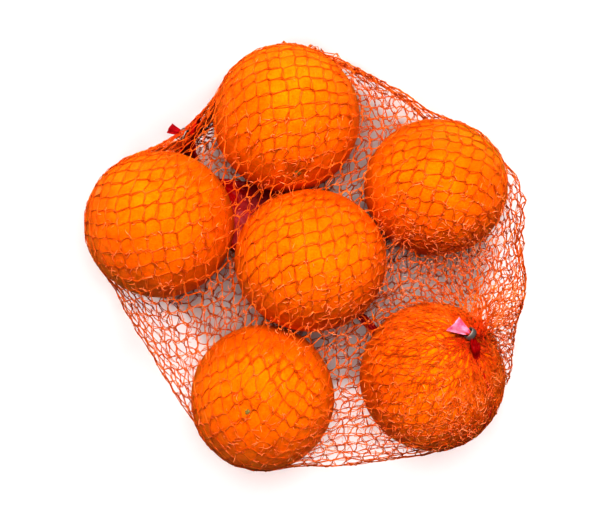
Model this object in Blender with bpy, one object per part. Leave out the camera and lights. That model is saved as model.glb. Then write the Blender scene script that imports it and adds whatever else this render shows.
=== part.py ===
"""Net bag of six oranges, lying on a table with its two gathered ends clipped.

One closed solid stands for the filled net: its skin runs taut over the six fruits, dips between them and
lies on the table below. Each end of the net leaves that solid as a short fluted neck, held by a metal clip,
with the tail of the bag's red film strip fanning out past the clip.

Units are metres, +Z is up, and the origin is on the table under the middle of the bag.
"""

import math

import bmesh
import bpy
import numpy as np
from mathutils import Matrix, Vector

MM = 0.001

# The skin stands this far off what it holds.
NET_THREAD = 0.6 * MM

# The fruits in mm: middle x, y and the half sizes along x, y and z, with how far each is lifted off the net.
FRUITS = {
    "top": dict(middle=(-9.4, 68.4), half=(36.0, 36.2, 35.4), lift=0.0),
    "left": dict(middle=(-71.9, 16.4), half=(36.6, 36.1, 35.0), lift=0.0),
    "centre": dict(middle=(2.2, -1.4), half=(37.0, 34.7, 34.6), lift=9.5),
    "right": dict(middle=(64.0, 34.6), half=(35.4, 33.6, 34.0), lift=0.0),
    "bottom_left": dict(middle=(-21.4, -69.0), half=(35.2, 35.6, 35.2), lift=0.0),
    "bottom_right": dict(middle=(61.8, -58.8), half=(35.4, 36.2, 35.0), lift=0.0),
}
# Loose net that stands out past the fruits along the right side, as two hollow folds.
SLACK_FOLDS = {
    "upper_fold": dict(middle=(89.4, 21.8), half=(17.0, 17.0, 14.0), lift=8.0),
    "lower_fold": dict(middle=(90.9, -13.6), half=(17.6, 17.6, 14.0), lift=6.0),
}

# The skin of the filled net, as rays from the middle and rings along each ray.
RAYS = 96
RINGS = 20
BELT_PASSES = 700
SHEET_PASSES = 2400
EDGE_DROOP = 0.16 * MM
SHEET_LOAD = 105.0  # weight over tension of the hanging sheet: how fast its slope changes, per metre
# Places where the edge is drawn in: direction in degrees, share of the radius, half width in degrees.
PINCHES = ((134.0, 0.15, 12.0), (4.5, 0.022, 6.0))

# The gathered ends. A closure's own +X runs out along its neck and its +Z is the side that shows.
NECK_LENGTH = 5.2 * MM
NECK_BASE = 2.5 * MM
NECK_WAIST = 1.35 * MM
NECK_FLUTES = 9
CLIP_START = 1.9 * MM
CLIP_WIDTH = 2.6 * MM
CLIP_BORE = 1.75 * MM
CLIP_WALL = 0.8 * MM
CLIP_OVAL = (1.3, 1.0)
TAIL_LENGTHS = {"near": 8.6 * MM, "far": 7.4 * MM}
TAIL_HALF_START = 1.5 * MM
TAIL_HALF_END = 4.2 * MM
TAIL_FILM = 0.45 * MM
SEAT_GAP = 0.35 * MM
FAR_LEAN_DEG = 22.0  # how far the far end leans over towards the left fruit

PEEL = ("net_of_oranges", (0.86, 0.24, 0.012, 1.0), 0.5, 0.0)
THREAD = ("net_thread", (0.80, 0.09, 0.015, 1.0), 0.45, 0.0)
STEEL = ("clip_steel", (0.42, 0.40, 0.38, 1.0), 0.35, 1.0)
FILM = ("red_film", (0.70, 0.01, 0.02, 1.0), 0.25, 0.0)


def clear_scene():
    for old in list(bpy.data.objects):
        bpy.data.objects.remove(old)


def material(kind):
    name, colour, roughness, metallic = kind
    made = bpy.data.materials.get(name) or bpy.data.materials.new(name)
    made.use_nodes = True
    shader = made.node_tree.nodes["Principled BSDF"]
    shader.inputs["Base Color"].default_value = colour
    shader.inputs["Roughness"].default_value = roughness
    shader.inputs["Metallic"].default_value = metallic
    return made


def add_object(name, bm, kind, place=None, sharp_deg=40.0):
    """A mesh object with outward faces, shaded smooth, carrying its own material."""
    bmesh.ops.recalc_face_normals(bm, faces=bm.faces)
    mesh = bpy.data.meshes.new(name)
    bm.to_mesh(mesh)
    bm.free()
    mesh.materials.append(material(kind))
    mesh.shade_smooth()
    mesh.set_sharp_from_angle(angle=math.radians(sharp_deg))
    made = bpy.data.objects.new(name, mesh)
    bpy.context.scene.collection.objects.link(made)
    if place is not None:
        made.matrix_world = place
    return made


def bulge(form):
    """Middle point and half sizes of one fruit or fold inside its net, as two arrays in metres."""
    x, y = form["middle"]
    half = np.array(form["half"]) * MM
    middle = np.array((x * MM, y * MM, form["lift"] * MM + NET_THREAD + half[2]))
    return middle, half + NET_THREAD


def dome(form, x, y, side):
    """Height of the upper (side 1) or lower (side -1) surface over each point, or NaN beside it."""
    middle, half = bulge(form)
    across = ((x - middle[0]) / half[0]) ** 2 + ((y - middle[1]) / half[1]) ** 2
    with np.errstate(invalid="ignore"):
        return middle[2] + side * half[2] * np.sqrt(1.0 - across)


def reach(form, directions):
    """How far along each ray from the origin the form reaches, or 0 where the ray misses it."""
    middle, half = bulge(form)
    ray = directions / half[:2]
    start = middle[:2] / half[:2]
    length = (ray**2).sum(axis=1)
    along = ray @ start
    inside = along**2 - length * (start @ start - 1.0)
    return np.where(inside > 0.0, (along + np.sqrt(np.maximum(inside, 0.0))) / length, 0.0)


def edge_of_net(angles):
    """Radius and height of the net's edge on each ray: a taut belt round all the forms, then drawn in."""
    forms = [*FRUITS.values(), *SLACK_FOLDS.values()]
    directions = np.stack((np.cos(angles), np.sin(angles)), axis=1)
    reaches = np.array([reach(form, directions) for form in forms])
    held = reaches.max(axis=0)
    radius = held.copy()
    step = 2.0 * math.pi / len(angles)
    for _ in range(BELT_PASSES):
        before, after = np.roll(radius, 1), np.roll(radius, -1)
        chord = 2.0 * math.cos(step) * before * after / (before + after)
        radius = np.maximum(held, chord)
    for direction, share, width in PINCHES:
        turn = np.degrees(angles) - direction
        turn = (turn + 180.0) % 360.0 - 180.0
        radius *= 1.0 - share * np.exp(-((turn / width) ** 2))
    radius = np.maximum(held, radius)

    middles = np.array([bulge(form)[0][2] for form in forms])
    resting = radius < held * 1.002
    height = np.where(resting, middles[reaches.argmax(axis=0)], middles.mean())
    for _ in range(BELT_PASSES):
        slack = (np.roll(height, 1) + np.roll(height, -1)) / 2.0 - EDGE_DROOP
        height = np.where(resting, height, slack)
    return radius, height


def net_sheet(x, y, edge_height, side):
    """Heights of the upper or lower sheet at every ring and ray: a hanging skin that the forms hold out."""
    forms = [*FRUITS.values(), *SLACK_FOLDS.values()]
    domes = np.array([dome(form, x, y, side) for form in forms])
    held = np.nanmax(np.where(np.isnan(domes), -1.0, side * domes), axis=0)

    def apart(rows, columns):
        return np.hypot(x - np.roll(x, (rows, columns), (0, 1)), y - np.roll(y, (rows, columns), (0, 1)))

    inward, outward, across = apart(1, 0), apart(-1, 0), apart(0, 1)
    tall = (inward + outward) / 2.0
    shortest = 0.1 * MM
    pulls = (
        ((1, 0), across / np.maximum(inward, shortest)),
        ((-1, 0), across / np.maximum(outward, shortest)),
        ((0, 1), tall / np.maximum(across, shortest)),
        ((0, -1), tall / np.maximum(apart(0, -1), shortest)),
    )
    total = sum(pull for _, pull in pulls)
    droop = SHEET_LOAD * across * tall / total
    height = np.maximum(held, side * edge_height[None, :])
    for _ in range(SHEET_PASSES):
        level = sum(pull * np.roll(height, turn, (0, 1)) for turn, pull in pulls) / total
        height = np.maximum(held, level - side * droop)
        height[0] = max(height[1].mean(), held[0].max())
        height[-1] = side * edge_height
        if side < 0:
            height = np.minimum(height, 0.0)
    return side * height


def build_net_bag():
    """The filled net: an upper and a lower sheet of rings that share the net's edge."""
    angles = np.arange(RAYS) * 2.0 * math.pi / RAYS
    radius, edge_height = edge_of_net(angles)
    share = np.sin(np.linspace(0.0, math.pi / 2.0, RINGS + 1))
    x = share[:, None] * radius * np.cos(angles)
    y = share[:, None] * radius * np.sin(angles)
    upper = net_sheet(x, y, edge_height, side=1)
    lower = net_sheet(x, y, edge_height, side=-1)

    bm = bmesh.new()

    def ring(level, heights):
        return [bm.verts.new((x[level, k], y[level, k], heights[level, k])) for k in range(RAYS)]

    def band(inner, outer):
        for k in range(RAYS):
            after = (k + 1) % RAYS
            bm.faces.new((inner[k], outer[k], outer[after], inner[after]))

    edge = ring(RINGS, upper)
    for heights in (upper, lower):
        pole = bm.verts.new((0.0, 0.0, heights[0, 0]))
        rings = [ring(level, heights) for level in range(1, RINGS)] + [edge]
        for k in range(RAYS):
            bm.faces.new((pole, rings[0][k], rings[0][(k + 1) % RAYS]))
        for inner, outer in zip(rings, rings[1:]):
            band(inner, outer)
    return add_object("net_bag", bm, PEEL, sharp_deg=60.0)


def build_neck(name, place):
    """The gathered net: a fluted stub that narrows to the clip and opens again past it."""
    steps, sides = 5, 27
    bm = bmesh.new()
    rings = []
    for step in range(steps + 1):
        along = step / steps
        drawn_in = math.sin(math.pi * min(along * 2.6, 1.0) / 2.0)
        waist = NECK_BASE + (NECK_WAIST - NECK_BASE) * drawn_in
        flute = 0.10 * (1.0 - along)
        ring = []
        for k in range(sides):
            turn = 2.0 * math.pi * k / sides
            size = waist * (1.0 + flute * math.cos(NECK_FLUTES * turn))
            point = (along * NECK_LENGTH, size * math.cos(turn) * CLIP_OVAL[0], size * math.sin(turn))
            ring.append(bm.verts.new(point))
        rings.append(ring)
    for before, after in zip(rings, rings[1:]):
        bmesh.ops.bridge_loops(bm, edges=ring_edges(bm, before) + ring_edges(bm, after))
    bm.faces.new(rings[0])
    bm.faces.new(rings[-1])
    return add_object(name, bm, THREAD, place)


def ring_edges(bm, ring):
    pairs = zip(ring, ring[1:] + ring[:1])
    return [bm.edges.get(pair) or bm.edges.new(pair) for pair in pairs]


def build_clip(name, place):
    """The crimped metal band round the neck: a flat strip bent into an oval ring."""
    sides = 24
    inner, outer = CLIP_BORE, CLIP_BORE + CLIP_WALL
    ends = (CLIP_START, CLIP_START + CLIP_WIDTH)
    profile = ((ends[0], inner), (ends[0], outer), (ends[1], outer), (ends[1], inner))
    bm = bmesh.new()
    rings = []
    for along, size in profile:
        turns = [2.0 * math.pi * k / sides for k in range(sides)]
        wide, high = size * CLIP_OVAL[0], size * CLIP_OVAL[1]
        rings.append([bm.verts.new((along, wide * math.cos(turn), high * math.sin(turn))) for turn in turns])
    for before, after in zip(rings, rings[1:] + rings[:1]):
        for k in range(sides):
            bm.faces.new((before[k], after[k], after[(k + 1) % sides], before[(k + 1) % sides]))
    made = add_object(name, bm, STEEL, place)
    edge = made.modifiers.new("rounded_edges", "BEVEL")
    edge.width = 0.15 * MM
    edge.segments = 1
    edge.limit_method = "ANGLE"
    return made


def build_film_tail(name, place, length, curl):
    """The end of the film strip past the clip: a fan with a folded middle that bends over by curl."""
    steps, across = 8, 8
    bm = bmesh.new()
    rows = []
    for step in range(steps + 1):
        along = step / steps
        half = TAIL_HALF_START + (TAIL_HALF_END - TAIL_HALF_START) * along**0.8
        bend = curl * along
        row = []
        for k in range(across + 1):
            side = 2.0 * k / across - 1.0
            fold = 0.35 * MM * math.cos(2.0 * math.pi * side)
            reach_out = NECK_LENGTH + SEAT_GAP + length * along
            drop = -length * bend * along / 2.0
            row.append(bm.verts.new((reach_out * (1.0 - 0.10 * bend), side * half, fold + drop)))
        rows.append(row)
    for before, after in zip(rows, rows[1:]):
        for k in range(across):
            bm.faces.new((before[k], before[k + 1], after[k + 1], after[k]))
    made = add_object(name, bm, FILM, place)
    sheet = made.modifiers.new("film", "SOLIDIFY")
    sheet.thickness = TAIL_FILM
    sheet.offset = 0.0
    sheet.use_even_offset = True
    return made


def closure_place(seat, axis, face):
    """The matrix of a closure: its neck starts at seat and runs along axis, and its flat side faces face."""
    run = Vector(axis).normalized()
    across = Vector(face).normalized().cross(run).normalized()
    up = run.cross(across)
    turn = Matrix((run, across, up)).transposed().to_4x4()
    return Matrix.Translation(Vector(seat)) @ turn


def build_closure(end, place, curl):
    build_neck(f"net_neck_{end}", place)
    build_clip(f"clip_{end}", place)
    build_film_tail(f"film_tail_{end}", place, TAIL_LENGTHS[end], curl)


def near_closure_place():
    """On the bottom right fruit's upper side, leaning back over it towards the middle of the bag."""
    middle, half = bulge(FRUITS["bottom_right"])
    flat = np.array((0.469, 0.527))
    seat = middle + half * np.array((*flat, math.sqrt(1.0 - flat @ flat)))
    normal = Vector((seat - middle) / half**2).normalized()
    axis = Vector((-0.70, 0.52, 0.49))
    return closure_place(Vector(seat) + normal * (SEAT_GAP + 2.6 * MM), axis, (0.0, 0.0, 1.0))


def far_closure_place():
    """Low between the top and left fruits, pointing out through the drawn-in edge."""
    direction = math.radians(PINCHES[0][0])
    out = Vector((math.cos(direction), math.sin(direction), 0.0))
    radius, height = edge_of_net(np.arange(RAYS) * 2.0 * math.pi / RAYS)
    ray = round(PINCHES[0][0] / 360.0 * RAYS)
    seat = out * (radius[ray] + SEAT_GAP + 1.3 * MM) + Vector((0.0, 0.0, height[ray] - 1.0 * MM))
    aim = direction + math.radians(FAR_LEAN_DEG)
    return closure_place(seat, (math.cos(aim), math.sin(aim), -0.35), (0.0, 0.0, 1.0))


clear_scene()
build_net_bag()
build_closure("near", near_closure_place(), curl=0.45)
build_closure("far", far_closure_place(), curl=-0.55)
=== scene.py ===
import math

import bpy
import numpy as np
from mathutils import Matrix, Vector


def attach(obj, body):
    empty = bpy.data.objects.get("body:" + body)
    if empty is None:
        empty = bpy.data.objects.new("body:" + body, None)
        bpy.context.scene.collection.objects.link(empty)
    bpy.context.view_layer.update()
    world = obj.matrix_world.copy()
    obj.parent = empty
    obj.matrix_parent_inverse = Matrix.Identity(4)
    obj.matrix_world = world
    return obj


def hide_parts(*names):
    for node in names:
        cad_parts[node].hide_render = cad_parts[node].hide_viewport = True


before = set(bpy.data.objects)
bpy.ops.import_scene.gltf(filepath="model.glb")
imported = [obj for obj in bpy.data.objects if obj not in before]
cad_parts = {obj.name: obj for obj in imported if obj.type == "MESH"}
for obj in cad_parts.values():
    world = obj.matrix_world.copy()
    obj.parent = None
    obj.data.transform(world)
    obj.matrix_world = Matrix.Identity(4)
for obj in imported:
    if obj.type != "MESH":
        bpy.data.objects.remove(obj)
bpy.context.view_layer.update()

mm = 0.001
scene = bpy.context.scene


# small helpers for materials

def hexColour(code):
    values = [int(code[i:i + 2], 16) / 255 for i in (1, 3, 5)]
    linear = [v / 12.92 if v <= 0.04045 else ((v + 0.055) / 1.055) ** 2.4 for v in values]
    return (*linear, 1.0)


def addNode(tree, kind, settings=None, links=None):
    # one node, its settings (sockets or options by name) and what its sockets are fed from
    node = tree.nodes.new(kind)
    for name, value in (settings or {}).items():
        if isinstance(name, int) or name in node.inputs:
            node.inputs[name].default_value = value
        else:
            setattr(node, name, value)
    for name, source in (links or {}).items():
        tree.links.new(source, node.inputs[name])
    return node


def startMaterial(name):
    made = bpy.data.materials.new(name)
    made.use_nodes = True
    tree = made.node_tree
    tree.nodes.clear()
    shader = addNode(tree, "ShaderNodeBsdfPrincipled")
    addNode(tree, "ShaderNodeOutputMaterial", links={"Surface": shader.outputs["BSDF"]})
    coords = addNode(tree, "ShaderNodeTexCoord")
    return made, tree, shader, coords.outputs["Object"]


def driftingColour(tree, place, size, settings, *stops):
    # drifts between the stops' colours over patches of the given size in mm
    patches = addNode(tree, "ShaderNodeTexNoise", {"Scale": 1 / (size * mm), **settings}, {"Vector": place})
    tone = addNode(tree, "ShaderNodeValToRGB", links={"Fac": patches.outputs["Fac"]})
    elements = tone.color_ramp.elements
    while len(elements) < len(stops):
        elements.new(0.5)
    for element, (position, code) in zip(elements, stops):
        element.position = position
        element.color = hexColour(code)
    return tone.outputs["Color"], patches.outputs["Fac"]


def tintRound(tree, place, colour, spot, radius, soft, code, most, ragged=None):
    # turns the colour towards another round a spot, sizes in mm, with an edge made ragged by a pattern
    gap = addNode(tree, "ShaderNodeVectorMath", {"operation": "DISTANCE", 1: Vector(spot) * mm}, {0: place})
    if ragged is not None:
        gap = addNode(tree, "ShaderNodeMath", {"operation": "MULTIPLY_ADD", 1: soft * 0.8 * mm},
                      {0: ragged, 2: gap.outputs["Value"]})
    share = addNode(tree, "ShaderNodeMapRange", {
        "From Min": (radius + soft) * mm, "From Max": radius * mm,
        "To Min": 0.0, "To Max": most}, {"Value": gap.outputs["Value"]})
    tint = addNode(tree, "ShaderNodeMix", {"data_type": "RGBA", 7: hexColour(code)},
                   {0: share.outputs["Result"], 6: colour})
    return tint.outputs[2]


def finishSurface(tree, shader, colour, values, relief=None, strength=0.5, depth=0.2):
    # the relief's depth in mm, and the shader's own values by name
    tree.links.new(colour, shader.inputs["Base Color"])
    if relief is not None:
        bump = addNode(tree, "ShaderNodeBump", {"Strength": strength, "Distance": depth * mm},
                       {"Height": relief})
        tree.links.new(bump.outputs["Normal"], shader.inputs["Normal"])
    for name, value in values.items():
        shader.inputs[name].default_value = value


# small helpers for pieces

def editMesh(on):
    bpy.ops.object.mode_set(mode="EDIT" if on else "OBJECT")


def deselectAll():
    bpy.ops.object.select_all(action="DESELECT")


def startPiece(name, addMesh, **options):
    deselectAll()
    addMesh(**options)
    piece = bpy.context.object
    piece.name = name
    return piece


def pickOnly(piece):
    deselectAll()
    piece.select_set(True)
    bpy.context.view_layer.objects.active = piece


def applyPlace(piece):
    pickOnly(piece)
    bpy.ops.object.transform_apply(location=True, rotation=True, scale=True)


def applyModifiers(piece):
    pickOnly(piece)
    for modifier in list(piece.modifiers):
        bpy.ops.object.modifier_apply(modifier=modifier.name)


def smoothNormals(piece, degrees=180):
    pickOnly(piece)
    editMesh(True)
    bpy.ops.mesh.select_all(action="SELECT")
    bpy.ops.mesh.normals_make_consistent(inside=False)
    editMesh(False)
    if degrees < 180:
        bpy.ops.object.shade_smooth_by_angle(angle=math.radians(degrees))
    else:
        bpy.ops.object.shade_smooth()


def pressClouds(piece, name, size, height, depth):
    # pushed in and out by a cloud pattern, sizes in mm
    clouds = bpy.data.textures.new(name, "CLOUDS")
    clouds.noise_scale = size * mm
    clouds.noise_depth = depth
    uneven = piece.modifiers.new("uneven", "DISPLACE")
    uneven.texture = clouds
    uneven.texture_coords = "LOCAL"
    uneven.strength = height * mm
    applyModifiers(piece)


def thicken(piece, thickness, offset):
    shell = piece.modifiers.new("thickness", "SOLIDIFY")
    shell.thickness = thickness * mm
    shell.offset = offset
    applyModifiers(piece)


def bevelEdges(piece):
    bevel = piece.modifiers.new("edges", "BEVEL")
    bevel.width = 0.12 * mm
    bevel.segments = 2
    applyModifiers(piece)


def unit(rows):
    return rows / np.maximum(np.linalg.norm(rows, axis=-1, keepdims=True), 1e-9)


# floor, lights and camera

stage = {
    "floorHalf": 3.0, "floorDrop": 0.0002,     # metres
    "floorColour": "#CFCACA",
    "keyPlace": (0.02, 0.50, 1.23), "keySize": (0.9, 0.7), "keyWatts": 43.0,   # lights all but the table
    "tablePlace": (0.0, 0.16, 1.30), "tableSize": (0.6, 0.6), "tableWatts": 12.5,   # lights the table alone
    # low strips all round the table clear the fruits' shadows off it, but not from under the net
    "strips": 6, "stripDistance": 2.2, "stripHeight": 0.12, "stripSize": (0.7, 0.1), "stripWatts": 205.0,
    "worldColour": "#FFFFFF", "worldStrength": 0.07,
    "contrast": 0.70,          # under 1 is crisper: shaded peel turns deep, the table stays white
    "cameraHeight": 0.800, "cameraPlace": (0.0, 0.0022),
    "viewWidth": 0.3017, "viewDepth": 0.764,   # width seen at the fruits' middle height
}


def makeSoftbox(name, place, size, watts, receivers, blockers=None):
    light = bpy.data.lights.new(name, "AREA")
    light.shape = "RECTANGLE"
    light.size, light.size_y = size
    light.energy = watts
    lamp = bpy.data.objects.new(name, light)
    lamp.location = place
    lamp.rotation_euler = (-Vector(place)).to_track_quat("-Z", "Y").to_euler()
    lamp.light_linking.receiver_collection = receivers
    lamp.light_linking.blocker_collection = blockers
    scene.collection.objects.link(lamp)


def letLightThrough(thread):
    # fine threads hardly dim the light that falls on the table between them
    threads = bpy.data.collections["netThreads"]
    threads.objects.link(thread)
    threads.collection_objects[-1].light_linking.link_state = "EXCLUDE"


def makeStage():
    floor = startPiece("floor", bpy.ops.mesh.primitive_plane_add,
                       size=2 * stage["floorHalf"], location=(0, 0, -stage["floorDrop"]))
    # white laminated board: matt and even
    board, _, shader, _ = startMaterial("whiteLaminateBoard")
    shader.inputs["Base Color"].default_value = hexColour(stage["floorColour"])
    shader.inputs["Roughness"].default_value = 0.55
    shader.inputs["Specular IOR Level"].default_value = 0.2
    floor.data.materials.append(board)

    tableOnly = bpy.data.collections.new("tableOnly")
    tableOnly.objects.link(floor)
    allButTable = bpy.data.collections.new("allButTable")
    allButTable.objects.link(floor)
    allButTable.collection_objects[0].light_linking.link_state = "EXCLUDE"
    makeSoftbox("keySoftbox", stage["keyPlace"], stage["keySize"], stage["keyWatts"], allButTable)
    makeSoftbox("tableSoftbox", stage["tablePlace"], stage["tableSize"], stage["tableWatts"], tableOnly,
                bpy.data.collections.new("netThreads"))
    far = stage["stripDistance"]
    for number in range(stage["strips"]):
        turn = 2 * math.pi * (number + 0.5) / stage["strips"]
        place = (far * math.cos(turn), far * math.sin(turn), stage["stripHeight"])
        makeSoftbox(f"strip_{number + 1}", place, stage["stripSize"], stage["stripWatts"], tableOnly)
    floor.visible_glossy = False   # no pale sheen at the fruits' rims

    world = bpy.data.worlds.new("studio")
    scene.world = world
    world.use_nodes = True
    background = world.node_tree.nodes["Background"]
    background.inputs["Color"].default_value = hexColour(stage["worldColour"])
    background.inputs["Strength"].default_value = stage["worldStrength"]

    camera = bpy.data.cameras.new("overhead")
    camera.sensor_width = 36
    camera.lens = 36 * stage["viewDepth"] / stage["viewWidth"]
    holder = bpy.data.objects.new("overhead", camera)
    holder.location = (*stage["cameraPlace"], stage["cameraHeight"])
    scene.collection.objects.link(holder)
    scene.camera = holder
    scene.view_settings.view_transform = "Standard"
    scene.view_settings.gamma = stage["contrast"]
    print("stage ready")


# oranges

oranges = {   # mm: middle x and y, half sizes, which way the stem end points, radius of the calyx, lift
    "top": {"middle": (-9.4, 68.4), "half": (36.0, 36.2, 35.4), "stem": (0.14, -0.80, 0.58), "calyx": 2.4},
    "left": {"middle": (-71.9, 16.4), "half": (36.6, 36.1, 35.0), "stem": (0.3, -0.5, -0.8)},
    "centre": {"middle": (2.2, -1.4), "half": (37.0, 34.7, 34.6), "stem": (0.6, 0.5, -0.6), "lift": 9.5},
    "right": {"middle": (64.0, 34.6), "half": (35.4, 33.6, 34.0), "stem": (-0.5, 0.2, -0.8)},
    "bottomLeft": {"middle": (-21.4, -69.0), "half": (35.2, 35.6, 35.2), "stem": (-0.18, -0.11, 0.98),
                   "calyx": 1.5},
    "bottomRight": {"middle": (61.8, -58.8), "half": (35.4, 36.2, 35.0), "stem": (0.2, -0.7, -0.7)},
}
netThickness = 0.6   # mm, the net under the fruits
peel = {
    "segments": 96, "rings": 64,
    "lumpSize": 26.0, "lumpHeight": 0.9,      # mm, the unevenness of the whole fruit
    "dimpleWidth": 9.0, "dimpleDepth": 1.3,   # mm, the hollow round the stem end
    "meanHalf": 36.0,                         # mm, what the hollow's sizes are taken on
}


def fruitMiddle(fruit):
    return Vector((*fruit["middle"], fruit.get("lift", 0.0) + netThickness + fruit["half"][2]))


def fruitEgg(fruit, gap=0.0):
    return np.array(fruitMiddle(fruit)), np.array(fruit["half"]) + gap


def keepOffFruits(points, gap):
    # points inside a fruit are set on its peel, and none goes into the table
    for fruit in oranges.values():
        middle, half = fruitEgg(fruit, gap)
        away = (points - middle) / half
        size = np.linalg.norm(away, axis=-1)
        inside = size < 1
        points[inside] = middle + half * away[inside] / size[inside][:, None]
    points[..., 2] = np.maximum(points[..., 2], 0.25)
    return points


def makeOrange(name, fruit, skin):
    orange = startPiece("orange_" + name, bpy.ops.mesh.primitive_uv_sphere_add,
                        segments=peel["segments"], ring_count=peel["rings"], radius=1.0)
    turn = Vector(fruit["stem"]).normalized().to_track_quat("Z", "Y").to_matrix()

    # the stem end sinks in, with the peel drawn after it
    dimple = peel["dimpleWidth"] / peel["meanHalf"]
    blossom = dimple * 0.6   # the far end has a smaller, shallower hollow
    for corner in orange.data.vertices:
        away = math.hypot(corner.co.x, corner.co.y)
        if corner.co.z > 0 and away < dimple:
            share = (math.cos(math.pi * away / dimple) + 1) / 2
            corner.co.z -= share * peel["dimpleDepth"] / peel["meanHalf"]
        elif corner.co.z < 0 and away < blossom:
            corner.co.z += (math.cos(math.pi * away / blossom) + 1) * 0.2 / peel["meanHalf"]
        corner.co = turn @ corner.co
    # stretched to the fruit's half sizes once the stem end faces its way
    orange.scale = Vector(fruit["half"]) * mm
    orange.location = fruitMiddle(fruit) * mm
    applyPlace(orange)

    pressClouds(orange, "lumps_" + name, peel["lumpSize"], peel["lumpHeight"], 1)
    smoothNormals(orange)
    orange.data.materials.append(skin)
    return orange


def makeCalyx(name, fruit, material):
    # the dry green star and button left where the stem was
    wide = fruit["calyx"] * mm
    star = startPiece("calyx_" + name, bpy.ops.mesh.primitive_circle_add,
                      vertices=30, radius=wide, fill_type="NGON")
    editMesh(True)
    bpy.ops.mesh.select_all(action="SELECT")
    bpy.ops.mesh.extrude_region_move(TRANSFORM_OT_translate={"value": (0, 0, 0.5 * mm)})
    bpy.ops.mesh.inset(thickness=0.5 * wide, depth=0.1 * mm)
    bpy.ops.mesh.inset(thickness=0.16 * wide, depth=0.12 * wide)
    bpy.ops.mesh.inset(thickness=0.13 * wide, depth=-0.1 * wide)
    editMesh(False)
    for corner in star.data.vertices:
        away = math.hypot(corner.co.x, corner.co.y)
        turn = math.atan2(corner.co.y, corner.co.x)
        if away > 0.7 * wide:   # five points with hollows between them
            reach = 1 - 0.34 * (0.5 - 0.5 * math.cos(5 * turn)) - 0.07 * math.sin(2 * turn + 1)
            corner.co.x *= reach
            corner.co.y *= reach
            corner.co.z -= 0.25 * mm
    facing = Vector(fruit["stem"]).normalized()
    half = Vector(fruit["half"])
    scaled = Vector([f * h for f, h in zip(facing, half)])
    out = Vector([f / h for f, h in zip(facing, half)]).normalized()
    star.matrix_world = Matrix.Translation((fruitMiddle(fruit) + scaled - out * 1.25) * mm) @ \
        out.to_track_quat("Z", "Y").to_matrix().to_4x4()
    applyPlace(star)
    bevelEdges(star)
    smoothNormals(star)
    star.data.materials.append(material)
    return star


peelMarks = [   # mm: place on the peel, radius, softness, colour and how much of it
    ((84.0, 58.0, 46.0), 15.0, 16.0, "#A8860C", 0.55),     # still green, right fruit's rim
    ((66.0, 56.0, 58.0), 4.5, 6.0, "#8A7A14", 0.55),       # and a patch on its shoulder
    ((-86.0, -14.0, 40.0), 10.0, 16.0, "#9C7A10", 0.50),   # green rim of the left fruit
    ((-99.0, 31.0, 50.0), 2.0, 4.0, "#C8A878", 0.6),       # pale scar on the left fruit
    ((-4.3, 39.5, 57.0), 3.0, 9.0, "#8A6A14", 0.6),        # round the top fruit's stem end
    ((-27.9, -72.9, 70.0), 1.5, 5.0, "#9A7A1C", 0.5),      # round the bottom left fruit's
]


def orangePeel():
    # waxed citrus peel, grown not made: oil glands pit it every millimetre or so, and a satin wax
    # spreads the light, so the fruit looks dense and juicy with a broad soft shine
    skin, tree, shader, place = startMaterial("waxedOrangePeel")
    ripeness, _ = driftingColour(tree, place, 38, {"Detail": 2.0, "Roughness": 0.5},
                                 (0.30, "#E26E01"), (0.50, "#EA7A01"), (0.72, "#F08402"))
    speck, mottle = driftingColour(tree, place, 4.2, {"Detail": 4.0, "Roughness": 0.6},
                                   (0.34, "#C8C8C8"), (0.60, "#FFFFFF"))
    mottled = addNode(tree, "ShaderNodeMix", {"data_type": "RGBA", "blend_type": "MULTIPLY", 0: 0.55},
                      {6: ripeness, 7: speck})
    colour = mottled.outputs[2]
    for mark in peelMarks:
        colour = tintRound(tree, place, colour, *mark, ragged=mottle)
    pores = addNode(tree, "ShaderNodeTexVoronoi", {"Scale": 1 / (1.35 * mm), "Randomness": 0.85},
                    {"Vector": place})
    pit = addNode(tree, "ShaderNodeMapRange", {"From Min": 0.0, "From Max": 0.42},
                  {"Value": pores.outputs["Distance"]})
    swell = addNode(tree, "ShaderNodeTexNoise", {"Scale": 1 / (3.2 * mm), "Detail": 2.0}, {"Vector": place})
    relief = addNode(tree, "ShaderNodeMath", {"operation": "MULTIPLY_ADD", 1: 1.6},
                     {0: swell.outputs["Fac"], 2: pit.outputs["Result"]})
    finishSurface(tree, shader, colour, {
        "Subsurface Weight": 0.5, "Subsurface Radius": (1.0, 0.4, 0.1), "Subsurface Scale": 1.6 * mm,
        "Roughness": 0.48, "IOR": 1.45, "Specular IOR Level": 0.28, "Specular Tint": hexColour("#FFB000")},
        relief.outputs["Value"], 0.6)
    return skin


def driedCalyx():
    # the dried green of the stem end: dull, rough and greyish
    dry, tree, shader, place = startMaterial("driedStemEnd")
    colour, grain = driftingColour(tree, place, 0.9, {"Detail": 3.0}, (0.35, "#6E5A20"), (0.68, "#8A7A42"))
    finishSurface(tree, shader, colour, {"Roughness": 0.8}, grain)
    return dry


def makeOranges():
    skin, dry = orangePeel(), driedCalyx()
    for name, fruit in oranges.items():
        orange = makeOrange(name, fruit, skin)
        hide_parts("net_bag")
        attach(orange, "root")
        if "calyx" in fruit:
            star = makeCalyx(name, fruit, dry)
            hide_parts("net_bag")
            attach(star, "root")
    print("oranges ready")


# the two gathered ends: where each neck starts, the way it runs, and its own across and up

closures = {
    "near": {"seat": np.array((80.18, -37.95, 62.89)), "run": np.array((-0.6998, 0.5199, 0.4899)),
             "across": np.array((-0.5963, -0.8027, 0.0)), "up": np.array((0.3932, -0.2921, 0.8717))},
    "far": {"seat": np.array((-57.75, 59.81, 31.85)), "run": np.array((-0.8622, 0.3839, -0.3303)),
            "across": np.array((-0.4067, -0.9135, 0.0)), "up": np.array((-0.3017, 0.1343, 0.9437))},
}


def closurePoint(end, along, sideways, upward):
    place = closures[end]
    return place["seat"] + along * place["run"] + sideways * place["across"] + upward * place["up"]


# the net

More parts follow.
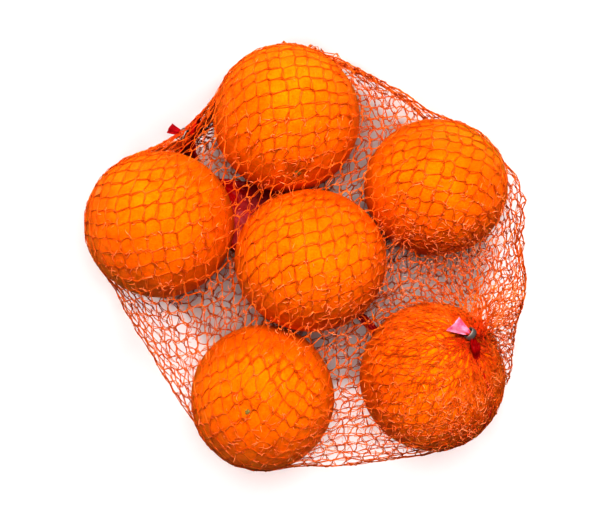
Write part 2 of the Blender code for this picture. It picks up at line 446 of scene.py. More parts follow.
net = {
    "wales": 56,             # cells round the tube
    "rows": 72,              # knots from one gathered end to the other
    "side": 6.9,             # mm, one side of a cell drawn straight
    "bunched": {"far": (0.75, 9), "near": (0.78, 14)},   # share of the side at an end, over how many rows
    "sideSpread": 0.05,      # how unlike the sides are
    "unevenCells": 0.35,     # how unlike the widths of the cells are
    "cellWidth": 1.25,       # sides, the width of an open cell
    "opensOver": 14.0,       # rows from an end until the cells are open
    "neckRadius": 2.2, "gap": 0.35, "stray": 0.45,   # mm, off the peel, and how far knots sit off their place
    "blown": (110.0, 106.0, 42.0), "core": (0.0, 0.0, 36.0),   # mm, half sizes of the first globe; middle
    "seed": 3,
}
draping = {   # how the threads are drawn tight, step by step
    "steps": 1600, "gathering": 0.4,         # the ends are drawn into their rings in this share of the steps
    "tension": 0.72, "pull": 0.12,           # the knit draws in to this share of its side, this eagerly
    "shortest": 0.35, "push": 0.2,           # and under this share it pushes back
    "openness": 0.12, "widening": 0.09,      # how eagerly cells stay open, and take a width of their own
    "stiffness": 0.03, "sag": 0.03, "floor": 0.4,
}
tautEdges = [   # mm: radius and path of the tube's flat folds, which keep its edge straight
    (12.0, [(12.4, 86.7, 35), (43.4, 70.3, 35), (54.2, 60.4, 35)]),
    (12.0, [(-81.5, -15.6, 35), (-52.9, -63.8, 35)]),
    (12.0, [(11.2, -91.3, 35), (55.9, -85.8, 35)]),
    (14.0, [(92.0, 33.0, 32), (93.2, 24.0, 32), (90.6, 9.0, 30), (94.0, -4.0, 30), (95.2, -12.0, 30),
            (94.3, -19.0, 30), (90.9, -28.5, 30), (89.0, -41.0, 30), (88.0, -54.0, 30)]),
]
# beside the far end the edge runs in two straight slopes: degrees, mm, and mm outward for each mm sideways
drawnIn = {"direction": 134.0, "reach": 88.0, "slopes": (0.40, 0.27), "flat": (1.0, 7.0), "halfWidth": 45.0}


def startNet():
    # a globe whose two poles are the gathered ends, blown out round the fruits
    rows, wales = net["rows"], net["wales"]
    body, middle = np.array(net["blown"]), np.array((2.0, 0.0, 36.0))
    far = unit((closures["far"]["seat"] - middle) / body)
    near = unit((closures["near"]["seat"] - middle) / body)
    top = unit(-(far + near))
    side = unit(np.cross(top, far))
    other = np.cross(top, side)

    def flatten(v):
        return complex(v @ side, v @ other) / (1 - v @ top)

    farFlat, nearFlat = flatten(far), flatten(near)
    scale = math.sqrt((1 + abs(nearFlat) ** 2) / (1 + abs(farFlat) ** 2))
    knots = np.zeros((rows, wales, 3))
    for row in range(rows):
        down = math.radians(3 + 174 * row / (rows - 1))   # no row sits on a pole
        turn = 2 * math.pi * (np.arange(wales) + 0.5 * (row % 2)) / wales
        w = math.tan(down / 2) / scale * np.exp(1j * turn)
        z = (farFlat - w * nearFlat) / (1 - w)
        size = np.abs(z) ** 2
        globe = 2 * z.real[:, None] * side + 2 * z.imag[:, None] * other + (size - 1)[:, None] * top
        globe /= (size + 1)[:, None]
        knots[row] = middle + 1.22 * body * globe
    return knots


def softNoise(random, shape):
    values = random.standard_normal(shape)
    for _ in range(2):
        values = (values + np.roll(values, 1, 0) + np.roll(values, -1, 0)
                  + np.roll(values, 1, 1) + np.roll(values, -1, 1)) / 5
    return values / values.std()


def turnsRound(knots, end):
    # the end row's knots in their own order round the neck
    place = closures[end]
    spokes = knots - knots.mean(axis=0)
    return np.arctan2(spokes @ place["up"], spokes @ place["across"])


def neckRing(end, turns):
    place = closures[end]
    ring = np.cos(turns)[:, None] * place["across"] + np.sin(turns)[:, None] * place["up"]
    return place["seat"] + net["neckRadius"] * ring


def smoothStep(share):
    return share * share * (3 - 2 * share)


def halfMove(apart, size, change):
    # what each of two knots moves by to change the gap between them
    return (change / 2 / np.maximum(size, 1e-6))[..., None] * apart


def drawSides(knots, chosen, shift, length):
    apart = np.roll(knots[chosen + 1], -shift, 1) - knots[chosen]
    size = np.linalg.norm(apart, axis=2)
    longest = length[chosen]
    drawn = np.minimum(size, longest) - draping["tension"] * longest
    over = np.maximum(size - longest, 0) + draping["pull"] * np.maximum(drawn, 0)
    under = draping["push"] * np.minimum(size - draping["shortest"] * longest, 0)
    move = halfMove(apart, size, over + under)
    knots[chosen] += move
    knots[chosen + 1] -= np.roll(move, shift, 1)


def openCells(knots, widths, opening, closeness):
    # cells are held open and uneven
    side = net["side"]
    apart = np.roll(knots, -1, 1) - knots
    size = np.linalg.norm(apart, axis=2)
    push = draping["openness"] * np.minimum(size - 0.8 * side * opening, 0)
    push += draping["widening"] * (size - net["cellWidth"] * side * widths * opening) * (opening > 0.9)
    move = halfMove(apart, size, push)
    knots += move
    knots -= np.roll(move, 1, 1)
    apart = knots[2:] - knots[:-2]
    size = np.linalg.norm(apart, axis=2)
    move = halfMove(apart, size, draping["openness"] * np.minimum(size - 0.9 * side * closeness[1:-1], 0))
    knots[:-2] += move
    knots[2:] -= move
    inner = knots[1:-1]
    around = (knots[2:] + knots[:-2] + np.roll(inner, 1, 1) + np.roll(inner, -1, 1)) / 4
    knots[1:-1] += draping["stiffness"] * (around - inner)
    knots[1:-1, :, 2] -= draping["sag"]


def holdOut(knots):
    # fruits, folds and floor hold it out
    keepOffFruits(knots, net["gap"])
    for radius, path in tautEdges:
        for a, b in zip(path, path[1:]):
            a, b = np.array(a, float), np.array(b, float)
            share = np.clip((knots - a) @ (b - a) / ((b - a) @ (b - a)), 0, 1)
            away = knots - (a + share[..., None] * (b - a))
            size = np.linalg.norm(away, axis=2)
            inside = size < radius
            lacking = (radius - size[inside]) / np.maximum(size[inside], 1e-6)
            knots[inside] += away[inside] * lacking[:, None]
    heading = math.radians(drawnIn["direction"])
    outward = np.array((math.cos(heading), math.sin(heading)))
    along = np.array((outward[1], -outward[0]))
    reach, sideways = knots[..., :2] @ outward, knots[..., :2] @ along
    limit = (drawnIn["reach"] + drawnIn["slopes"][0] * np.maximum(drawnIn["flat"][0] - sideways, 0)
             + drawnIn["slopes"][1] * np.maximum(sideways - drawnIn["flat"][1], 0))
    beyond = np.where((np.abs(sideways) < drawnIn["halfWidth"]) & (reach > limit), reach - limit, 0)
    knots[..., :2] -= 0.5 * beyond[..., None] * outward
    knots[..., 2] = np.maximum(knots[..., 2], draping["floor"])


def drapeNet():
    # threads that can't stretch are drawn tight over the fruits
    random = np.random.default_rng(net["seed"])
    rows, wales = net["rows"], net["wales"]
    knots = startNet()
    level = np.arange(rows)
    closeness = np.ones((rows, 1))
    for end, fromThere in (("far", level), ("near", rows - 1 - level)):
        least, over = net["bunched"][end]
        closeness *= least + (1 - least) * smoothStep(np.clip(fromThere / over, 0, 1)[:, None])
    lengths = {}
    for way in ("right", "left"):
        unlike = 1 + net["sideSpread"] * random.standard_normal((rows - 1, wales))
        lengths[way] = net["side"] * closeness[:-1] * unlike
    widths = 1 + net["unevenCells"] * (0.6 * softNoise(random, (rows, wales))
                                       + 0.8 * random.standard_normal((rows, wales)))
    opening = np.minimum(1, np.minimum(level, rows - 1 - level) / net["opensOver"])[:, None]
    even, odd = level[:-1:2], level[1:-1:2]
    ways = ((even, 0, "right"), (odd, 0, "right"), (even, -1, "left"), (odd, 1, "left"))

    ends = {"far": 0, "near": -1}
    starts = {end: knots[row].copy() for end, row in ends.items()}
    turns = {end: turnsRound(ring, end) for end, ring in starts.items()}
    rings = {end: neckRing(end, turns[end]) for end in ends}
    for step in range(draping["steps"]):
        for chosen, shift, way in 2 * ways:
            drawSides(knots, chosen, shift, lengths[way])
        openCells(knots, widths, opening, closeness)
        holdOut(knots)
        gathered = smoothStep(min(1.0, step / (draping["steps"] * draping["gathering"])))
        for end, row in ends.items():
            knots[row] = starts[end] * (1 - gathered) + rings[end] * gathered
    return knots, turns


def lengthwiseAt(knots):
    along = np.empty_like(knots)
    along[1:-1] = knots[2:] - knots[:-2]
    along[0], along[-1] = along[1], along[-2]
    return along


def outwardAt(knots):
    # which way the net faces at each knot
    across = np.roll(knots, -1, 1) - np.roll(knots, 1, 1)
    facing = unit(np.cross(across, lengthwiseAt(knots)))
    if ((knots - np.array(net["core"])) * facing).sum() < 0:
        facing = -facing
    return facing


strands = {
    "filament": 0.175,       # mm, radius of one filament; two of them twist into a strand
    "spread": 0.36,          # mm, how far each filament stands off the strand's middle
    "twist": (1.2, 2.4),     # half turns from knot to knot
    "thinner": 0.6,          # share of radius and spread inside the necks
    "joint": 0.75,           # mm, half the length over which two threads run together at a knot
    "bow": 0.75, "lift": 0.5,   # how far slack sides bow sideways, and off the fruit
    "bends": 3,              # segments along a joint, and as many from joint to joint
}


def strandPaths(knots, turns, random):
    # each thread runs from the far neck to the near one, as knots, facings and the slack between knots
    rows, wales = knots.shape[:2]
    facing = outwardAt(knots)
    level = np.arange(rows)
    lengthwise = unit(lengthwiseAt(knots))
    fromEnd = np.minimum(level, rows - 1 - level)
    joints = random.uniform(0.6, 1.25, (rows, wales)) * np.minimum(1, fromEnd / 10)[:, None]
    paths, faces, slacks = [], [], []
    for steps in (level // 2, -((level + 1) // 2)):
        for start in range(wales):
            wale = (start + steps) % wales
            path, face = knots[level, wale], facing[level, wale]
            chord = np.linalg.norm(np.diff(path, axis=0), axis=1)
            slack = np.sqrt(np.maximum(net["side"] ** 2 - chord ** 2, 0)) / 2
            # both threads of a knot run together for a moment, lengthwise
            reach = (strands["joint"] * joints[level, wale])[:, None] * lengthwise[level, wale]
            path = np.stack((path - reach, path + reach), axis=1).reshape(-1, 3)
            slack = np.stack((np.zeros_like(slack), slack), axis=1).reshape(-1)
            ends = []
            for end, turn in (("far", turns["far"][wale[0]]), ("near", turns["near"][wale[-1]])):
                flare = random.uniform(0.7, 1.4)
                tip = random.uniform(4.7, 5.9)
                ring = [(tip, flare), (4.6, 1.15), (2.0, 1.3)]   # mm along the neck, and from its middle
                ends.append(np.array([closurePoint(end, s, r * math.cos(turn), r * math.sin(turn))
                                      for s, r in ring]))
            paths.append(np.concatenate((ends[0], path, ends[1][::-1])))
            faces.append(np.pad(np.repeat(face, 2, axis=0), ((3, 3), (0, 0)), "edge"))
            slacks.append(np.pad(slack, (3, 4)))
    return np.array(paths), np.array(faces), np.array(slacks)


def roundPath(points, bends):
    # a smooth curve through each row of points, with the given number of bends between two of them
    before, after = 2 * points[:, :1] - points[:, 1:2], 2 * points[:, -1:] - points[:, -2:-1]
    longer = np.concatenate((before, points, after), axis=1)
    p0, p1, p2, p3 = (longer[:, i:longer.shape[1] - 3 + i, None] for i in range(4))
    t = (np.arange(bends) / bends)[None, None, :, None]
    curve = 0.5 * (2 * p1 + (p2 - p0) * t + (2 * p0 - 5 * p1 + 4 * p2 - p3) * t ** 2
                   + (3 * p1 - p0 - 3 * p2 + p3) * t ** 3)
    curve = curve.reshape(len(points), -1, points.shape[2])
    return np.concatenate((curve, points[:, -1:]), axis=1)


def pieceFromLines(name, centres, radii, facing, material):
    # a tube of four sides along each line of centres, closed at both ends, so that all faces are quads
    tangent = np.empty_like(centres)
    tangent[:, 1:-1] = centres[:, 2:] - centres[:, :-2]
    tangent[:, 0], tangent[:, -1] = centres[:, 1] - centres[:, 0], centres[:, -1] - centres[:, -2]
    tangent = unit(tangent)
    across = unit(np.cross(tangent, facing))
    up = np.cross(across, tangent)
    lines, steps = centres.shape[:2]
    sides = 4
    corner = np.arange(sides)
    turn = 2 * math.pi * corner / sides
    ring = np.cos(turn)[:, None] * across[:, :, None] + np.sin(turn)[:, None] * up[:, :, None]
    points = centres[:, :, None] + radii[..., None, None] * ring
    after = (corner + 1) % sides
    start = (np.arange(lines)[:, None, None] * steps + np.arange(steps - 1)[None, :, None]) * sides
    walls = np.stack((start + corner, start + after, start + sides + after, start + sides + corner), axis=-1)
    first = (np.arange(lines) * steps * sides)[:, None]
    last = first + (steps - 1) * sides
    faces = np.concatenate((walls.reshape(-1, sides), first + corner[::-1], last + corner))
    mesh = bpy.data.meshes.new(name)
    mesh.from_pydata((points.reshape(-1, 3) * mm).tolist(), [], faces.tolist())
    mesh.update()
    mesh.shade_smooth()
    mesh.materials.append(material)
    piece = bpy.data.objects.new(name, mesh)
    scene.collection.objects.link(piece)
    return piece


def netThread():
    # drawn polyethylene monofilament, orange-red: smooth, a little see-through, so it glints where it turns
    thread, tree, shader, place = startMaterial("drawnPolyethyleneFilament")
    colour, _ = driftingColour(tree, place, 7, {"Detail": 3.0, "Roughness": 0.7},
                               (0.30, "#B04A08"), (0.50, "#CC6414"), (0.70, "#E68438"))
    # painted shade: round the gathered ends, where the threads bunch and shade one another, they are painted
    # a deeper red
    for end, radius, soft, most in (("near", 4.2, 16.8, 0.85), ("far", 4.8, 19.2, 0.55)):
        colour = tintRound(tree, place, colour, closures[end]["seat"], radius, soft, "#C4300A", most)
    finishSurface(tree, shader, colour, {
        "Subsurface Weight": 0.5, "Subsurface Radius": (1.0, 0.4, 0.15), "Subsurface Scale": 0.6 * mm,
        "Roughness": 0.34, "IOR": 1.51, "Specular IOR Level": 0.25, "Specular Tint": hexColour("#FFA870")})
    return thread


def strandLines(knots, turns, random):
    # the strands' middle lines, with what faces outward and what runs across at each step
    paths, faces, slacks = strandPaths(knots, turns, random)
    bends = strands["bends"]
    middle = roundPath(paths, bends)
    facing = unit(roundPath(faces, bends))
    tangent = unit(np.gradient(middle, axis=1))
    across = unit(np.cross(tangent, facing))
    facing = np.cross(across, tangent)

    # slack sides bow out sideways, and every thread wanders a little
    phase = np.arange(middle.shape[1] - 1) / bends
    bulge = np.sin(math.pi * (phase - np.floor(phase))) ** 2
    bow = np.pad(np.repeat(slacks, bends, axis=1) * bulge, ((0, 0), (0, 1)))
    lean = random.uniform(-1, 1, slacks.shape)
    lift = random.uniform(0.0, 0.6, slacks.shape)
    lean, lift = (np.pad(np.repeat(v, bends, axis=1), ((0, 0), (0, 1)), "edge") for v in (lean, lift))
    middle = (middle + strands["bow"] * (bow * lean)[..., None] * across
              + strands["lift"] * (bow * lift)[..., None] * facing)
    return middle, facing, across


slackThreads = {   # single filaments that fill in between the strands where the net is gathered
    # from each end: every how many strands, how many times over, and how late they start at most
    "far": (1, 3, 0.5), "near": (5, 1, 0.1),
    "first": 8, "steps": 56,   # steps along the strand, to where the earliest one starts and on from there
    "radius": 0.16, "wave": 0.35, "gap": 0.35,
    "lowest": 22.0,            # mm, those of the underside lie flat with the strands
}


def makeSlack(middle, facing, strand, random):
    lines, outward = [], []
    steps = slackThreads["steps"]
    for flip, end in ((1, "far"), (-1, "near")):
        runs, faces = middle[:, ::flip], facing[:, ::flip]
        every, times, latest = slackThreads[end]
        for number in list(range(0, len(middle), every)) * times:
            other = (number + 1) % net["wales"] + (number // net["wales"]) * net["wales"]
            share = random.uniform(0.25, 0.75)
            start = int(random.uniform(0.0, latest) * steps) + slackThreads["first"]
            chosen = slice(start, start + steps, 2)
            wave = random.uniform(0, 2 * math.pi, (2, 3))
            wave = wave + np.arange(steps // 2)[:, None, None] * random.uniform(0.2, 0.6, (2, 3))
            lines.append(runs[number, chosen] * (1 - share) + runs[other, chosen] * share
                         + slackThreads["wave"] * np.sin(wave).sum(axis=1))
            outward.append(faces[number, chosen])
    lines, outward = keepOffFruits(np.array(lines), slackThreads["gap"]), unit(np.array(outward))
    upper = lines[..., 2].mean(axis=1) > slackThreads["lowest"]
    lines, outward = lines[upper], outward[upper]
    radii = slackThreads["radius"] * random.uniform(0.8, 1.25, (len(lines), 1)) * np.ones((1, lines.shape[1]))
    return pieceFromLines("net_slack_filaments", lines, radii, outward, strand)


def makeNet():
    random = np.random.default_rng(net["seed"] + 10)
    knots, turns = drapeNet()
    # no knot sits quite where the tension alone would put it
    facing = outwardAt(knots)
    stray = random.normal(0, net["stray"], knots.shape) * np.ones((net["rows"], 1, 1))
    knots[2:-2] += (stray - (stray * facing).sum(-1, keepdims=True) * facing)[2:-2]
    print("net draped over the fruits")
    middle, facing, across = strandLines(knots, turns, random)
    strand = netThread()
    bends, steps = strands["bends"], np.arange(middle.shape[1])
    twist = random.uniform(*strands["twist"], (len(middle), 1))
    wander = random.uniform(0, 2 * math.pi, (len(middle), 1))
    inNeck = np.ones(len(steps))
    inNeck[:5 * bends] = inNeck[-5 * bends:] = strands["thinner"]
    pieces = []
    for filament in range(2):
        turn = wander + filament * math.pi + twist * math.pi * steps / (2 * bends)
        loose = 1 + 0.7 * np.sin(0.37 * steps + wander * 3)
        off = strands["spread"] * loose[..., None] * inNeck[:, None] * (
            np.cos(turn)[..., None] * across + 0.6 * np.sin(turn)[..., None] * facing)
        centres = keepOffFruits(middle + off, strands["filament"] * 1.1)
        radii = strands["filament"] * inNeck * (1 + 0.22 * np.sin(1.7 * steps + wander * 5))
        for part in range(4):
            chosen = slice(part * net["wales"] // 2, (part + 1) * net["wales"] // 2)
            name = f"net_filament_{filament + 1}_part_{part + 1}"
            pieces.append(pieceFromLines(name, centres[chosen], radii[chosen], facing[chosen], strand))
    pieces.append(makeSlack(middle, facing, strand, random))
    for piece in pieces:
        letLightThrough(piece)
        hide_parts("net_bag", "net_neck_near", "net_neck_far")
        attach(piece, "root")
    print("net strands ready")
    return knots, strand


# loose ends: broken filaments that curl off the net, painted pale as glints of the light

whiskers = {
    "count": 2400, "lengths": (1.2, 4.0), "radius": 0.19, "points": 6,
    "shade": 0.95,            # how much more often they stand on the sides away from the light
    "crowd": 2.5, "crowdReach": 48.0,   # how much busier the near end is, mm
    "fromEdge": 3.0,          # mm, how far they stay inside the net's own edge
}


def frayedThreadPaintedGlint():
    # the same filament where it has split, rougher; its pale peach colour is a painted glint of the light on
    # the loose ends
    frayed, tree, shader, place = startMaterial("frayedFilamentPaintedGlint")
    colour, _ = driftingColour(tree, place, 5, {"Detail": 2.0}, (0.35, "#E87030"), (0.65, "#F6A272"))
    finishSurface(tree, shader, colour, {"Roughness": 0.4, "IOR": 1.51})
    return frayed


def makeWhiskers(knots):
    random = np.random.default_rng(net["seed"] + 20)
    facing = outwardAt(knots)
    rows, wales = knots.shape[:2]
    chance = np.clip(0.22 - whiskers["shade"] * facing[..., 1], 0.03, 1.0)
    chance = chance * np.clip(2.4 * facing[..., 2] - 0.8, 0, 1)   # none on steep sides or underneath
    chance[:4] = chance[-4:] = 0
    # the net is closest and busiest round the near end, so more of them stand there
    near = np.linalg.norm(knots - closures["near"]["seat"], axis=2)
    chance *= 1 + whiskers["crowd"] * np.exp(-((near / whiskers["crowdReach"]) ** 2))
    picks = random.choice(rows * wales, whiskers["count"], p=(chance / chance.sum()).ravel())
    roots, faces = knots.reshape(-1, 3)[picks], facing.reshape(-1, 3)[picks]
    amount = len(picks)
    roots = roots + random.normal(0, 1.6, (amount, 3))
    heading = random.normal(0, 1, (amount, 3))
    heading = unit(heading - (heading * faces).sum(1, keepdims=True) * faces)
    heading = heading + random.uniform(0.0, 0.7, (amount, 1)) * faces
    curl = random.normal(0, 0.28, (amount, 3))
    length = random.uniform(*whiskers["lengths"], (amount, 1)) / (whiskers["points"] - 1)
    line = [roots]
    for _ in range(whiskers["points"] - 1):
        heading = unit(heading + curl)
        line.append(line[-1] + length * heading)
    centres = keepOffFruits(np.stack(line, axis=1), 0.45)

    # none of them reaches out past the net's own edge, which is taken every 4 degrees
    def sectorOf(points):
        return np.degrees(np.arctan2(points[..., 1], points[..., 0])).astype(int) // 4 % 90

    edge = np.zeros(90)
    np.maximum.at(edge, sectorOf(knots), np.linalg.norm(knots[..., :2], axis=2))
    room = edge[sectorOf(centres)] - whiskers["fromEdge"]
    within = (np.linalg.norm(centres[..., :2], axis=2) < room).all(axis=1)
    centres, faces, amount = centres[within], faces[within], int(within.sum())
    thin = np.linspace(1.0, 0.55, whiskers["points"])[None] * random.uniform(0.75, 1.15, (amount, 1))
    sideways = np.repeat(faces[:, None], whiskers["points"], axis=1) + 0.01
    piece = pieceFromLines("net_loose_ends", centres, whiskers["radius"] * thin, sideways, frayedThreadPaintedGlint())
    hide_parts("net_bag")
    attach(piece, "root")
    print("loose ends ready")


# filaments combed flat over the fruit under the near end, where the net is drawn together

combed = {
    "count": 380, "start": (3.5, 40.0), "lengths": (5.0, 24.0),   # mm from the gathered end
    "radius": 0.12, "points": 14, "lift": (0.3, 0.7), "sway": 0.06, "weave": 0.25,
    "lowest": 26.0,   # mm, only the fruit's upper side has them
}


def makeCombed(strand):
    random = np.random.default_rng(net["seed"] + 30)
    middle, half = fruitEgg(oranges["bottomRight"])
    pole = unit((closures["near"]["seat"] - middle) / half)
    first = unit(np.cross(pole, np.array((0.0, 0.0, 1.0))))
    second = np.cross(pole, first)
    count, steps = combed["count"], combed["points"]
    nearest, furthest = combed["start"]
    start = nearest + (furthest - nearest) * random.uniform(0, 1, (count, 1)) ** 0.8
    length = random.uniform(*combed["lengths"], (count, 1))
    along = np.linspace(0, 1, steps)[None]
    away = (start + length * along) / half.mean()
    turn = random.uniform(0, 2 * math.pi, (count, 1))
    sway = np.sin(random.uniform(3, 9, (count, 1)) * along + random.uniform(0, 6, (count, 1)))
    turn = turn + combed["sway"] * sway + random.normal(0, 0.10, (count, 1)) * along
    facing = (np.cos(away)[..., None] * pole + np.sin(away)[..., None] * (
        np.cos(turn)[..., None] * first + np.sin(turn)[..., None] * second))
    lift = random.uniform(*combed["lift"], (count, 1))
    lift = lift + combed["weave"] * np.sin(random.uniform(6, 14, (count, 1)) * along)
    centres = middle + facing * (half + np.maximum(lift, combed["lift"][0])[..., None])
    seen = centres[..., 2].min(axis=1) > combed["lowest"]
    radii = combed["radius"] * random.uniform(0.8, 1.3, (count, 1)) * np.ones((1, steps))
    piece = pieceFromLines("net_combed_filaments", centres[seen], radii[seen], facing[seen], strand)
    letLightThrough(piece)
    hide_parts("net_bag")
    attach(piece, "root")
    print("combed filaments ready")


# the red film inside: a band that runs from one gathered end to the other

film = {
    "thickness": 0.08, "across": 22, "along": 190,
    "crumple": 4.0, "crumpleSize": 15.0,     # mm
    "pleats": 3.5, "pleatHeight": 1.5, "flatter": 15.0,   # mm, half width where the pleats are low
    "bends": 24,                             # of the path, from one place to the next
    "lands": 34.0,                           # mm along it, where it comes down on the table
    "climbs": 0.60, "climbsOver": 0.08,      # shares of its length, where it starts up the fruit
    "gap": 0.25, "overTable": 0.9,
}
filmPath = [   # mm: middle of the band and its half width there
    (-57.6, 59.7, 31.6, 1.3), (-57.3, 60.8, 30.5, 7.0), (-57.4, 60.6, 28.5, 10.0), (-58.2, 57.0, 22.0, 5.0),
    (-57.5, 49.0, 10.0, 2.5), (-51.0, 40.5, 2.5, 2.5), (-42.0, 33.5, 1.6, 8.0), (-34.5, 27.5, 1.4, 14.0),
    (-26.5, 20.5, 1.4, 20.0), (-17.0, 12.0, 1.4, 17.0), (-6.0, 3.0, 1.6, 11.0), (14.0, -18.0, 1.4, 5.0),
    (30.0, -32.0, 1.4, 2.2), (48.0, -52.0, 1.2, 3.0), (60.0, -72.0, 2.0, 4.0), (70.0, -85.0, 9.0, 2.0),
    (77.5, -90.0, 23.0, 0.8), (82.0, -87.6, 37.5, 0.7), (86.0, -83.0, 46.0, 0.7), (88.5, -74.0, 53.3, 0.7),
    (88.0, -66.0, 58.0, 0.7), (85.5, -59.0, 61.5, 0.7), (82.4, -51.5, 63.0, 0.8), (81.2, -47.0, 64.6, 1.6),
    (80.5, -43.4, 66.0, 2.7), (79.9, -40.3, 66.4, 2.5), (79.8, -38.2, 63.6, 1.3),
]


def redFilm():
    # coloured polyethylene film: thin, glossy and creased; round the gathered ends it is painted a deeper red
    # as shade
    sheet, tree, shader, place = startMaterial("glossRedPolyethyleneFilm")
    colour, _ = driftingColour(tree, place, 9, {"Detail": 2.0}, (0.35, "#AC0408"), (0.65, "#CC0A10"))
    # painted shade: darker red round each gathered end, in full at the near one, in part at the far one
    for end, most in (("near", 1.0), ("far", 0.4)):
        colour = tintRound(tree, place, colour, closures[end]["seat"], 6.0, 24.0, "#900206", most)
    crease = addNode(tree, "ShaderNodeTexNoise", {"Scale": 1 / (3 * mm), "Detail": 3.0, "Distortion": 0.6},
                     {"Vector": place})
    finishSurface(tree, shader, colour, {"Roughness": 0.32, "IOR": 1.51, "Specular IOR Level": 0.14},
                  crease.outputs["Fac"], depth=0.3)
    return sheet


def makeFilm(material):
    band = startPiece("red_film_band", bpy.ops.mesh.primitive_grid_add,
                      x_subdivisions=film["across"], y_subdivisions=film["along"], size=2)
    fine = roundPath(np.array([filmPath]), film["bends"])[0]
    fine, fineHalf = fine[:, :3], fine[:, 3]
    travel = np.concatenate(([0], np.cumsum(np.linalg.norm(np.diff(fine, axis=0), axis=1))))
    tangent = unit(np.gradient(fine, axis=0))
    # lies flat on the table, then turns to face away from the fruit it climbs
    climbing = np.clip((travel / travel[-1] - film["climbs"]) / film["climbsOver"], 0, 1)[:, None]
    outward = unit(fine - fruitEgg(oranges["bottomRight"])[0])
    landing = np.clip(travel / film["lands"], 0, 1)[:, None]
    first = (1 - landing) * np.array((0.9, -0.45, 0.1)) + landing * np.array((-0.35, 0.38, 1.0))
    up = unit((1 - climbing) * first + climbing * outward)
    across = unit(np.cross(tangent, up))
    up = np.cross(across, tangent)
    for corner in band.data.vertices:
        u, v = corner.co.x, (corner.co.y + 1) / 2
        at = min(int(v * (len(fine) - 1)), len(fine) - 1)
        wide = fineHalf[at]
        fold = math.sin(film["pleats"] * math.pi * u + 2.2 * math.sin(9 * v)) * film["pleatHeight"]
        fold = fold * (1.25 - wide / film["flatter"]) * min(1, wide / 3.2) ** 2
        corner.co = Vector((fine[at] + u * wide * across[at] + fold * up[at]) * mm)
    pressClouds(band, "crumple", film["crumpleSize"], film["crumple"], 2)
    places = np.array([corner.co for corner in band.data.vertices]) / mm
    places = keepOffFruits(places, film["gap"])
    places[:, 2] = np.maximum(places[:, 2], film["overTable"])
    for corner, place in zip(band.data.vertices, places):
        corner.co = Vector(place * mm)
    thicken(band, film["thickness"], -1)
    smoothNormals(band)
    band.data.materials.append(material)
    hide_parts("net_bag")
    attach(band, "root")
    print("film ready")


# clips and film tails on the gathered ends

clips = {   # mm
    "start": 1.7, "width": 3.1, "bore": 1.75, "wall": 0.75,
    "oval": (1.3, 1.0), "opening": 0.42,   # wider than high, and cut open over this angle to each side
    "segments": 48, "thin": 0.3,           # the ring it is bent from, whose radius is 1
}
tails = {
    # the near tail's pink colours are a painted reflection of the light on its red film; the far tail's red
    # is its own
    "near": {"length": 11.0, "curl": 0.20, "halfWidths": (1.9, 4.4), "pleats": 1.5, "pleatHeight": 0.28,
             "turn": 0.10, "rise": 0.6, "slant": 0.10, "colours": ("#F0688C", "#FF9EB8")},
    "far": {"length": 7.1, "curl": -0.10, "halfWidths": (1.9, 2.7), "pleats": 1.5, "pleatHeight": 0.4,
            "turn": 0.0, "rise": 0.8, "slant": 0.04, "colours": ("#8C0412", "#A4081A")},
}
tailInClip = 0.6   # mm of each tail that stays in its clip


def clipMetal():
    # plated steel clip wire, pressed flat: dull grey with faint draw lines
    metal, tree, shader, place = startMaterial("pressedSteelWire")
    colour, lines = driftingColour(tree, place, 0.5, {"Detail": 3.0}, (0.3, "#9A908A"), (0.7, "#BCB2AA"))
    finishSurface(tree, shader, colour, {"Metallic": 1.0, "Roughness": 0.62}, lines, 0.4, 0.05)
    return metal


def tailFilm(end):
    # the film's cut end, drawn thin in the clip; the near tail's pink is a painted reflection of the light on
    # the red film
    sheet, tree, shader, place = startMaterial(f"thinFilmTail_{end}")
    darker, lighter = tails[end]["colours"]
    colour, _ = driftingColour(tree, place, 3, {"Detail": 2.0}, (0.35, darker), (0.62, lighter))
    finishSurface(tree, shader, colour, {"Roughness": 0.25, "IOR": 1.51})
    return sheet


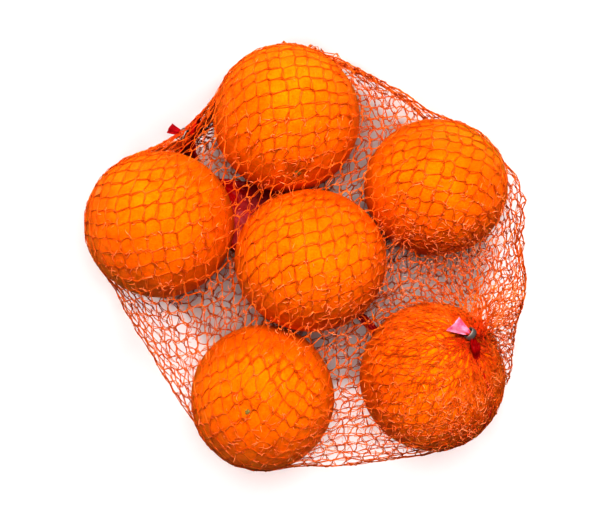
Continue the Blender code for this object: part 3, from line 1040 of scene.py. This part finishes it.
def makeClip(end, metal):
    thin = clips["thin"]
    clip = startPiece("clip_" + end + "_wire", bpy.ops.mesh.primitive_torus_add,
                      major_segments=clips["segments"], minor_segments=12, minor_radius=thin)
    # the bent wire is cut open on one side, and its ends are capped
    editMesh(True)
    bpy.ops.mesh.select_all(action="DESELECT")
    editMesh(False)
    for corner in clip.data.vertices:
        corner.select = abs(math.atan2(corner.co.y, corner.co.x)) < clips["opening"]
    editMesh(True)
    bpy.ops.mesh.delete(type="VERT")
    bpy.ops.mesh.select_all(action="SELECT")
    bpy.ops.mesh.fill_holes(sides=0)
    editMesh(False)
    middle = clips["start"] + clips["width"] / 2
    for corner in clip.data.vertices:
        turn = math.atan2(corner.co.y, corner.co.x)
        ring = math.hypot(corner.co.x, corner.co.y)
        out = clips["bore"] + clips["wall"] * (0.5 + (ring - 1) / (2 * thin))
        flat = math.copysign(min(abs(corner.co.z) / thin * 1.25, 1.0), corner.co.z) * clips["width"] / 2
        place = closurePoint(end, middle + flat, out * clips["oval"][0] * math.cos(turn),
                             out * clips["oval"][1] * math.sin(turn))
        corner.co = Vector(place * mm)
    bevelEdges(clip)
    smoothNormals(clip, 40)
    clip.data.materials.append(metal)
    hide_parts("clip_" + end)
    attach(clip, "root")


def makeTail(end):
    tail = tails[end]
    fan = startPiece("film_tail_" + end + "_fan", bpy.ops.mesh.primitive_grid_add,
                     x_subdivisions=28, y_subdivisions=24, size=2)
    start = clips["start"] + clips["width"] - tailInClip
    narrow, wide = tail["halfWidths"]
    narrow *= 0.55   # gathered in the clip
    for corner in fan.data.vertices:
        u, v = corner.co.x, (corner.co.y + 1) / 2
        half = narrow + (wide - narrow) * v ** 0.85
        slant = 1 + tail["slant"] * u * v + 0.008 * math.sin(11 * u) * v   # the cut end isn't square
        fold = math.cos(tail["pleats"] * math.pi * u) * tail["pleatHeight"] * (1 - 0.35 * v)
        rise = tail["curl"] * tail["length"] * v * v * 0.5
        on, side = (tail["length"] + tailInClip) * v * slant, half * u
        lean = tail["turn"] * min(v * 4, 1)
        on, side = on * math.cos(lean) - side * math.sin(lean), side * math.cos(lean) + on * math.sin(lean)
        place = closurePoint(end, start + on, side, fold + rise + tail["rise"] - 0.12 * u * u * half)
        corner.co = Vector(place * mm)
    thicken(fan, 0.12, 0)
    smoothNormals(fan)
    fan.data.materials.append(tailFilm(end))
    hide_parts("film_tail_" + end)
    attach(fan, "root")


def makeClosures():
    metal = clipMetal()
    for end in closures:
        makeClip(end, metal)
        makeTail(end)
    print("clips and tails ready")


makeStage()
makeOranges()
knots, strand = makeNet()
makeWhiskers(knots)
makeCombed(strand)
makeFilm(redFilm())
makeClosures()
